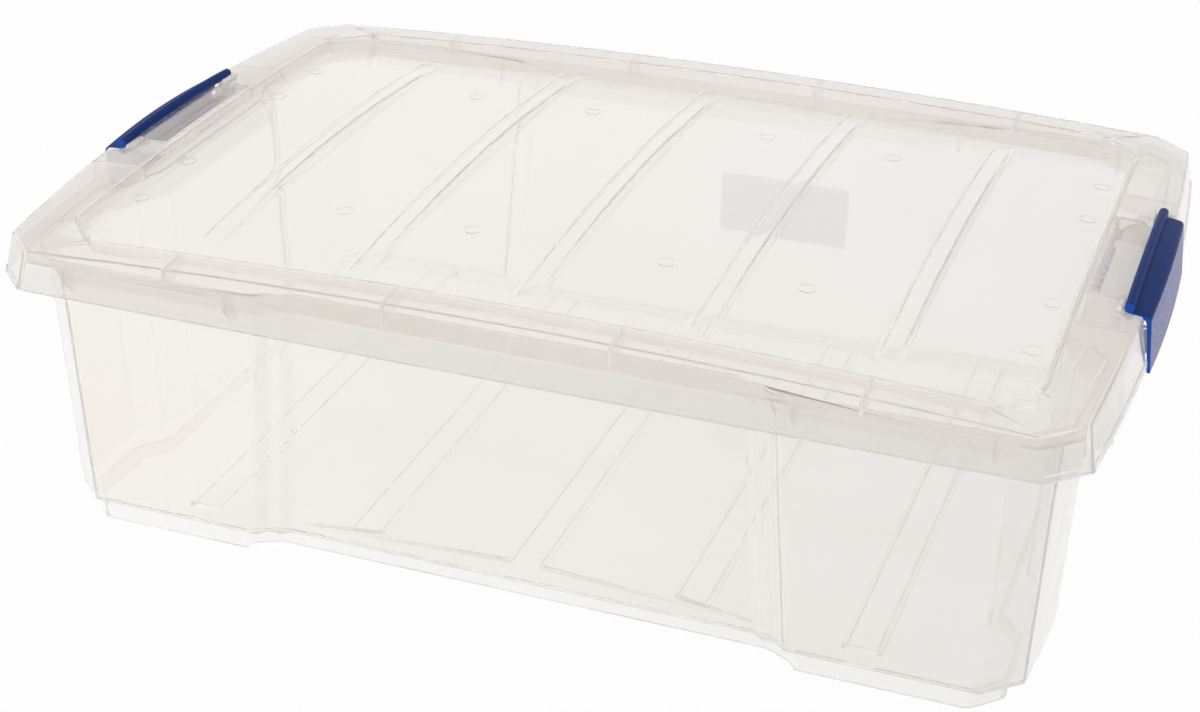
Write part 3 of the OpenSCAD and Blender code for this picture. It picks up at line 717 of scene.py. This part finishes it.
def lid_line(z, t=0.0, n=4):
    """The whole notched outline at the quarter's heights z, moved inward by t, as 3D points."""
    flat = inset(whole(lid_path(z)), around(np.broadcast_to(t, 18)))
    return rounded(np.column_stack([flat, around(z)]), around(SOFT), n)


def on_top(line):
    """The line's points moved up or down onto the lid's upper surface."""
    return np.column_stack([line[:, :2], lid_top(line[:, 0], line[:, 1])])


def on_under(line):
    """The line's points moved up or down onto the lid's lower surface."""
    return np.column_stack([line[:, :2], lid_under(line[:, 0], line[:, 1])])


lid_section = edged([
    on_under(lid_line(UNDER, WALL + np.where(np.abs(np.arange(18) - 6.5) < 2, 0.2, 2.2))),
    on_under(lid_line(UNDER, WALL)),
    lid_line(LOW, WALL),
    lid_line(LOW, -BEAD),
    lid_line(LOW + np.where(BEAD > 0, 3.2, 1.0), -BEAD),
    lid_line(LOW + np.where(BEAD > 0, 3.6, 1.2)),
    on_top(lid_line(HIGH)),
    on_top(lid_line(HIGH, THIN)),
][::-1], [1.2, 0.3, 0.3, 0.4, 0.4, 0.6])[::-1]


def rib_patches(shrink):
    """Grid lines along the edges of every rib."""
    offsets = RIB_W - shrink + np.array([-1.2, -0.6, 0.0, 0.6, 1.2])
    patches = []
    for middle, half in zip(RIB_X, RIB_HALF):
        ys = np.linspace(-half, half, 121)
        patches.append(grid(middle + np.concatenate([-offsets[::-1], [0.0], offsets]), ys))
    return patches


def stepped(line, step):
    """A closed line with extra points, so that no edge is longer than step."""
    ends = np.roll(line, -1, 0)
    counts = np.maximum(np.ceil(np.linalg.norm(ends - line, axis=1) / step), 1).astype(int)
    share = np.concatenate([np.arange(c) / c for c in counts])[:, None]
    return np.repeat(line, counts, 0) * (1 - share) + np.repeat(ends, counts, 0) * share


def recess_lines(grow):
    """Closed lines at even steps across the sloping wall of the recess."""
    edge = whole([(RECESS_L, RECESS_CUT), (RECESS_L + RECESS_CUT - RECESS_W, RECESS_W)])
    return [stepped(rounded(inset(edge, t - grow), 6.0, 5), 8.0) for t in (-0.6, 0.1, 0.7, 1.3, 1.9, 2.5, 3.2)]


pocket_x = np.array([262.6, 263.1, 263.5, 263.9, 264.4, 268, 272, 276, 277.4, 277.8, 278.2, 278.6,
                     280.3, 280.7, 280.9, 281.1, 281.3, 281.5])
pocket_y = np.concatenate([np.arange(0, 46, 2.0), [46.6, 47.1, 47.4, 47.7, 48.0, 48.4, 49.0],
                           np.arange(51, 62, 2.0), [62.3, 62.7, 63.1, 63.4, 63.8, 65.0]])
pocket_y = np.concatenate([-pocket_y[:0:-1], pocket_y])
pockets = [grid(s * pocket_x, pocket_y) for s in (1, -1)]
under_x = np.array([260.6, 261.1, 261.6, 262.0, 262.4, 266, 270, 274])
under_y = np.concatenate([np.arange(0, 48, 8.0), [48.6, 49.1, 49.5, 49.9, 50.4, 52.0]])
under_y = np.concatenate([-under_y[:0:-1], under_y])
under_pockets = [grid(s * under_x, under_y) for s in (1, -1)]
seat_edge = np.array([(280.7, -62.6), (281.5, -62.6), (281.5, 62.6), (280.7, 62.6)])
seat_lines = [stepped(seat_edge * (s, 1), 2.0) for s in (1, -1)]
TURN = np.linspace(0, 2 * np.pi, 28, endpoint=False)
mark_lines = [c + r * np.stack([np.cos(TURN), np.sin(TURN)], 1) for c in MARKS
              for r in (MARK_R - 0.45, MARK_R, MARK_R + 0.45)]
top_sheet = sheet(lid_section[-1, :, :2], recess_lines(0.0) + seat_lines + mark_lines,
                  rib_patches(0.0) + pockets, 15.0, lid_top)
under_sheet = sheet(lid_section[0, :, :2], recess_lines(WALL),
                    rib_patches(WALL) + under_pockets, 15.0, lid_under, up=False)
lid = solid("lid_shell", [skin(lid_section), top_sheet, under_sheet], "lid_body", "lid")

# %% [markdown]
# Under the rim, thin gussets carry the lid on the tub's flange. From above they show through the
# rim as short pale lines.

# %% Lid gussets
SIDE_GUSSET = [(170.6, 165.6), (179.5, 162.1), (191.0, 162.1), (190.4, 0), (174.4, 0), (171.9, 0)]
END_GUSSET = [(256.6, 165.6), (265.5, 162.1), (290.0, 162.1), (289.3, 0), (260.4, 0), (257.9, 0)]


def lid_gusset(points, at, at_end, side):
    """The faces of one gusset, whose upper three corners follow the crown.

    It stands across a long side at x = at or, with at_end, across an end at y = at.
    """
    outline = np.array(points)
    rim = outline[3:, 0]
    outline[3:, 1] = (crown(rim, at) if at_end else crown(at, rim)) - (1.2, 1.2, 6.5)
    outline = outline if side > 0 else outline[::-1] * (-1, 1)
    right, origin = ((1, 0, 0), (0, at, 0)) if at_end else ((0, 1, 0), (at, 0, 0))
    return [placed(part, right, (0, 0, 1), origin) for part in closed_plate(outline, 2.0, 0.3)]


lid_gusset_parts = []
for side in (1, -1):
    for x in (-183.0, -60.0, 60.0, 183.0):
        lid_gusset_parts += lid_gusset(SIDE_GUSSET, x, False, side)
    for y in (-83.0, 83.0):
        lid_gusset_parts += lid_gusset(END_GUSSET, y, True, side)
lid_gussets = solid("lid_gussets", lid_gusset_parts, "lid_body", None)

# %% [markdown]
# ## Clip handles
#
# A clip is one navy moulding: a rod that lies in the lid's notch, a short top plate, a bend and
# an outer plate with a fine grain. Its upper side rises a little towards the middle. The section
# is carried across the width and rises along an arc, while its lower edge stays straight. The
# left clip mirrors the right one. A mirror turns faces inside out, so its rings run backward.

# %% Clip sections
ROD_X, ROD_Z = 284.5, 176.0
BEND_X, BEND_Z = 297.4, 172.7
ROD_R, ROD_HALF = 2.6, 63.0
HANDLE_LOW, HANDLE_HALF, HANDLE_CROWN = 142.2, 62.4, 2.2
PLATE_LEAN, PLATE_BOW = 2.6, 1.5
ARC = (HANDLE_HALF**2 + HANDLE_CROWN**2) / (2 * HANDLE_CROWN)


def rise_at(y):
    """Upward crown of a clip at distance y from its middle."""
    return HANDLE_CROWN - ARC + np.sqrt(ARC**2 - y**2)


def plate_face(z):
    """Distance of the outer face from the middle of the box at height z below the bend."""
    return BEND_X + PLATE_LEAN * (BEND_Z - z) / (BEND_Z - HANDLE_LOW)


def clip_section(rise, t):
    """Outline of top plate, bend and outer plate at a crown of rise, moved inward by t."""
    turn = np.radians(np.arange(90, -1, -15))
    bend = np.stack([BEND_X - 3 + 3 * np.cos(turn), BEND_Z - 3 + 3 * np.sin(turn) + rise], 1)
    low = plate_face(HANDLE_LOW - rise)
    rest = [(low, HANDLE_LOW), (low - 1.8, HANDLE_LOW), (BEND_X - 2.5, BEND_Z - 4.4 + rise),
            (BEND_X - 3.6, BEND_Z - 2 + rise), (ROD_X, BEND_Z - 0.4 + rise), (ROD_X, BEND_Z + 1.6 + rise)]
    ring = np.concatenate([bend, rest])[::-1]
    return rounded(inset(ring, t), 0.5, 3)


def stops_across(ends, half, reach, count):
    """Pairs of inset and y over the width: softened ends at half and count even stops up to reach."""
    return ([(t, e - half) for t, e in ends] + [(0.0, y) for y in np.linspace(-reach, reach, count)]
            + [(t, half - e) for t, e in ends[::-1]])


def plate_rings(side):
    """The section carried across. In plan it bows: the ends of the plate lie PLATE_BOW further in."""
    rings = []
    for t, y in stops_across([(0.6, 0.0), (0.18, 0.18), (0.0, 0.6)], HANDLE_HALF, 58, 25):
        flat = clip_section(rise_at(y), t)
        weight = np.clip((flat[:, 0] - ROD_X) / (BEND_X - ROD_X), 0.0, 1.0)
        x = flat[:, 0] - PLATE_BOW * (y / HANDLE_HALF) ** 2 * weight
        rings.append(np.stack([x * side, np.full(len(flat), y), flat[:, 1]], 1))
    return np.stack(rings)[::-side]


def bar_rings(x, heights, radii, ys):
    """Circles of a round bar along y, in the order in which its faces point outward."""
    rings = [np.stack([x + r * np.cos(TURN), np.full(len(TURN), y), z + r * np.sin(TURN)], 1)
             for z, r, y in zip(heights, radii, ys)]
    return np.stack(rings)[::-1 if ys[-1] > ys[0] else 1]


def clip(side):
    """The faces of one clip: side is 1 at the right end and -1 at the left end."""
    inset_by, ys = np.array(stops_across([(0.9, 0.0), (0.3, 0.3), (0.0, 0.9)], ROD_HALF, 59, 23)).T
    heights = ROD_Z + rise_at(np.clip(ys, -HANDLE_HALF, HANDLE_HALF))
    rod = bar_rings(ROD_X, heights, ROD_R - inset_by, ys) * (side, 1, 1)
    parts = closed_skin(plate_rings(side)) + closed_skin(rod[::side])
    for s in (1, -1):
        for radius, near, far in ((3.2, 30.7, 45.7), (1.9, 45.0, 49.0)):
            ys = (s * near, s * (near + 0.3), s * (far - 0.3), s * far)
            radii = (radius - 0.3, radius, radius, radius - 0.3)
            parts += closed_skin(bar_rings(side * PIN_X, [PIN_Z] * 4, radii, ys))
        web = np.array([(0.0, -2.8), (6.4, -2.8), (6.4, 2.8), (0.0, 2.8)])
        for part in closed_plate(web, 15.0, 0.3):
            parts.append(placed(part, (side, 0, 0), (0, 0, 1), (side * PIN_X, s * 38.2, PIN_Z)))
    return parts


clips = {
    "left": solid("clip_left", clip(-1), "handle_left_body", "handle_left"),
    "right": solid("clip_right", clip(1), "handle_right_body", "handle_right"),
}

# %% [markdown]
# ## Label
#
# A blank paper label sits on the outside of the back wall. It is a thin plate with rounded
# corners that leans with the wall.

# %% Label
LABEL_LEAN = np.arctan(3.6 / TUB_H)
LABEL_Z = 93.2
wall_y = 178.8 - 3.6 * (RIM_Z - LABEL_Z) / TUB_H - 9.2
label_outline = rounded(whole([(41.0, 19.5)]), 2.0, 6)
label_up = (0, np.sin(LABEL_LEAN), np.cos(LABEL_LEAN))
label_parts = [placed(part, (-1, 0, 0), label_up, (46.0, wall_y + 0.18, LABEL_Z))
               for part in closed_plate(label_outline, 0.24, 0.05)]
label = solid("label_sheet", label_parts, "tub_body", "label")

# %% [markdown]
# ## Clear plastic
#
# Polypropylene is milky glass: most light is bent straight through it, and each skin scatters
# the rest, which veils what lies behind. A Principled shader with a high transmission does both,
# since the share that isn't transmitted is matt colour. The colour is a warm white, a little
# uneven as in any thin moulding, and it holds painted shade: it darkens towards the right end,
# away from the key lamp, and it is darker on the rims and the skirt, where layers of the box
# overlap. Rays that carry light, which are shadow and diffuse rays, pass through with a faint
# tint, as light does through a real milky wall, so the inside isn't dark.
# A ray that has crossed more than DEEPEST faces goes straight on, or thin folds would turn black.

# %% Clear plastic
CLEARNESS = 0.78
DEEPEST = 14.0


def past(f, value, edge, width):
    """0 where value is below edge and 1 where it is more than width above it."""
    return f.node("ShaderNodeMath", {"operation": "DIVIDE", "use_clamp": True}, {0: value - edge, 1: width})


def axis(f, place, name, size=False):
    """One coordinate of a place, or its size without the sign."""
    value = f.node("ShaderNodeSeparateXYZ", inputs={"Vector": place}, output=name)
    return f.node("ShaderNodeMath", {"operation": "ABSOLUTE"}, {0: value}) if size else value


def blended(f, share, first, second):
    """A colour that goes from first to second as share goes from 0 to 1."""
    return f.node("ShaderNodeMix", {"data_type": "RGBA"}, {0: share, 6: first, 7: second}, output=2)


def clear_plastic(name, overlap_shade, right_end, low, high, skirt_shade=None):
    """Milky clear polypropylene, with the colours low to high where overlap_shade(f, place) is 1:
    painted shade where layers of the box overlap.

    Away from there its colour goes from warm at the left end to right_end, darker at the right end,
    which is painted shade, as from the key lamp at the left.
    A skirt_shade colour takes over in the lower half of the lid's skirt, also painted shade.
    """
    f = Finish(bpy.data.materials.new(name))
    place = f.node("ShaderNodeTexCoord", output="Object")
    cloud = f.node("ShaderNodeTexNoise", inputs={"Vector": place, "Scale": 5.0, "Detail": 3.0})
    # Lighter and warm at the left end, darker at the right end: the darkening is painted shade, as from the key
    # lamp at the left.
    left = f.node("ShaderNodeValToRGB", {"stops": [
        (0.35, (0.964, 0.943, 0.912)), (0.65, (0.978, 0.965, 0.945))]}, {"Fac": cloud})
    right = f.node("ShaderNodeValToRGB", {"stops": [
        (0.35, tuple(c - 0.008 for c in right_end)),
        (0.65, tuple(c + 0.008 for c in right_end))]}, {"Fac": cloud})
    side_shaded = blended(f, past(f, axis(f, place, "X"), -0.2, 0.45), left, right)
    # A darker colour on the rims and skirt: painted shade where layers of the box overlap.
    overlap_shaded = f.node("ShaderNodeValToRGB", {"stops": [(0.35, low), (0.65, high)]}, {"Fac": cloud})
    colour = blended(f, overlap_shade(f, place), side_shaded, overlap_shaded)
    # Darker still on the lower skirt: painted shade where the tub's flange and collar lie behind it.
    if skirt_shade:
        colour = blended(f, lid_skirt(f, place), colour, skirt_shade)
    grain = f.node("ShaderNodeTexNoise", inputs={"Vector": place, "Scale": 30.0, "Detail": 2.0})
    bump = f.node("ShaderNodeBump", inputs={"Strength": 0.10, "Distance": 0.001, "Height": grain})
    milk = f.node("ShaderNodeBsdfPrincipled", inputs={
        "Base Color": colour, "Roughness": 0.025 + cloud * 0.02, "Transmission Weight": CLEARNESS, "IOR": 1.42,
        "Normal": bump})
    through = f.node("ShaderNodeBsdfTransparent", inputs={"Color": (0.990, 0.985, 0.980, 1.0)})
    lighting = f.node("ShaderNodeLightPath", output="Is Shadow Ray") + f.node(
        "ShaderNodeLightPath", output="Is Diffuse Ray")
    deep = f.node("ShaderNodeMath", {"operation": "GREATER_THAN"}, {
        0: f.node("ShaderNodeLightPath", output="Ray Depth"), 1: DEEPEST})
    both = f.node("ShaderNodeMixShader", inputs={0: lighting + deep, 1: milk, 2: through})
    f.node("ShaderNodeOutputMaterial", inputs={"Surface": both})
    return f.owner


def lid_skirt(f, place):
    """Where the lower skirt's painted shade goes: the lower half of the lid's skirt, below 164 mm, faded in
    over 6 mm.
    """
    return past(f, 0.164 - axis(f, place, "Z"), 0.0, 0.006)


def tub_rim(f, place):
    """Where painted shade goes on the tub: its collar and flange, above 147 mm."""
    return past(f, axis(f, place, "Z"), 0.147, 0.002)


def lid_rim(f, place):
    """Where painted shade goes on the lid: its rim and skirt, outside the recessed panel."""
    outside = f.node("ShaderNodeMath", {"operation": "MAXIMUM"}, {
        0: axis(f, place, "X", True) - 0.2575, 1: axis(f, place, "Y", True) - 0.1715})
    return past(f, outside, 0.0, 0.001)


# The tub's right end colour and its darker collar and flange colours are painted shade.
tub_milk = clear_plastic("milky_plastic_tub", tub_rim, (0.908, 0.900, 0.882),
                         (0.822, 0.797, 0.763), (0.846, 0.824, 0.793))
# The lid's right end colour, its darker rim colours and its lower skirt colour are painted shade.
lid_milk = clear_plastic("milky_plastic_lid", lid_rim, (0.948, 0.936, 0.917),
                         (0.895, 0.868, 0.834), (0.917, 0.894, 0.864), (0.850, 0.832, 0.806, 1.0))
for piece, milk in ((tub, tub_milk), (feet, tub_milk), (gussets, tub_milk), (ears, tub_milk), (lid, lid_milk),
                    (lid_gussets, lid_milk)):
    piece.data.materials.append(milk)
    print(milk.name, "on", piece.name)

# %% [markdown]
# ## Navy plastic
#
# The clips are dense navy polypropylene. Rod, top plate and bend are smooth with a soft gloss.
# The cut ends catch the light, and a painted highlight makes them a brighter blue. The outer plate
# has a fine spark-eroded grain, which scatters light at a low angle and makes it paler and a little
# violet: partly sheen, and partly painted sheen in its colour.

# %% Navy plastic


def navy_plastic(name, grain_and_sheen):
    """Navy polypropylene, smooth with a painted highlight on the cut ends, or with the grain and painted sheen
    of the outer plate.
    """
    f = Finish(bpy.data.materials.new(name))
    place = f.node("ShaderNodeTexCoord", output="Object")
    cloud = f.node("ShaderNodeTexNoise", inputs={"Vector": place, "Scale": 40.0, "Detail": 3.0})
    speck = f.node("ShaderNodeTexNoise", inputs={"Vector": place, "Scale": 1000.0, "Detail": 1.0})
    if grain_and_sheen:
        # The speckle is the grain; its pale violet top stop is painted sheen, the paleness the grain shows at a
        # low angle.
        colour = f.node("ShaderNodeValToRGB", {"stops": [
            (0.42, (0.014, 0.030, 0.150)), (0.50, (0.045, 0.060, 0.230)),
            (0.58, (0.220, 0.220, 0.500))]}, {"Fac": speck})
        bump = f.node("ShaderNodeBump", inputs={"Strength": 0.7, "Distance": 0.0002, "Height": speck})
        gloss, sheen, level = 0.45 + cloud * 0.1, 0.25, 0.5
    else:
        body = f.node("ShaderNodeValToRGB", {"stops": [
            (0.3, (0.006, 0.026, 0.135)), (0.7, (0.009, 0.033, 0.160))]}, {"Fac": cloud})
        # Painted highlight: the cut ends of rod and plates are a brighter blue, as where they catch the light.
        cut_end_highlight = past(f, axis(f, place, "Y", True), 0.0618, 0.0004)
        colour = blended(f, cut_end_highlight, body, (0.016, 0.075, 0.390, 1.0))
        bump = f.node("ShaderNodeBump", inputs={"Strength": 0.08, "Distance": 0.0002, "Height": speck})
        gloss, sheen, level = 0.35 + cloud * 0.1, 0.0, 0.05
    shader = f.node("ShaderNodeBsdfPrincipled", inputs={
        "Base Color": colour, "Roughness": gloss, "Specular IOR Level": level, "Sheen Weight": sheen,
        "Sheen Tint": (0.85, 0.83, 1.0, 1.0), "Normal": bump})
    f.node("ShaderNodeOutputMaterial", inputs={"Surface": shader})
    return f.owner


navy = navy_plastic("navy_plastic", False)
navy_grain_and_sheen = navy_plastic("navy_plastic_grain_and_sheen", True)
for piece in clips.values():
    mesh = piece.data
    mesh.materials.append(navy)
    mesh.materials.append(navy_grain_and_sheen)
    normals, middles = np.empty(len(mesh.polygons) * 3), np.empty(len(mesh.polygons) * 3)
    mesh.polygons.foreach_get("normal", normals)
    mesh.polygons.foreach_get("center", middles)
    normals, middles = np.abs(normals.reshape(-1, 3)), np.abs(middles.reshape(-1, 3))
    outer = (normals[:, 0] > 0.93) & (middles[:, 0] > (BEND_X - 3.0) * MM) & (middles[:, 1] < 0.0621)
    mesh.polygons.foreach_set("material_index", outer.astype(np.int32))
    print(piece.name, int(outer.sum()), "grained faces")

# %% [markdown]
# ## Label paper
#
# The label is blank: a pale, cool paper with fine fibres.

# %% Label paper


def blank_paper():
    """Pale grey-blue paper with fibres."""
    f = Finish(bpy.data.materials.new("blank_paper"))
    place = f.node("ShaderNodeTexCoord", output="Object")
    fibre = f.node("ShaderNodeTexNoise", inputs={"Vector": place, "Scale": 400.0, "Detail": 4.0})
    colour = f.node("ShaderNodeValToRGB", {"stops": [(0.3, (0.67, 0.71, 0.79)), (0.7, (0.73, 0.77, 0.85))]},
                    {"Fac": fibre})
    bump = f.node("ShaderNodeBump", inputs={"Strength": 0.1, "Distance": 0.0001, "Height": fibre})
    shader = f.node("ShaderNodeBsdfPrincipled", inputs={"Base Color": colour, "Roughness": 0.6, "Normal": bump})
    f.node("ShaderNodeOutputMaterial", inputs={"Surface": shader})
    return f.owner


label.data.materials.append(blank_paper())
for name, finish in (("tub", tub_milk), ("lid", lid_milk), ("handle_left", navy), ("handle_right", navy),
                     ("label", label.data.materials[0])):
    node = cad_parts[name]
    node.data.materials.clear()
    node.data.materials.append(finish)
print("finishes:", sorted(m.name for m in bpy.data.materials if m.users))
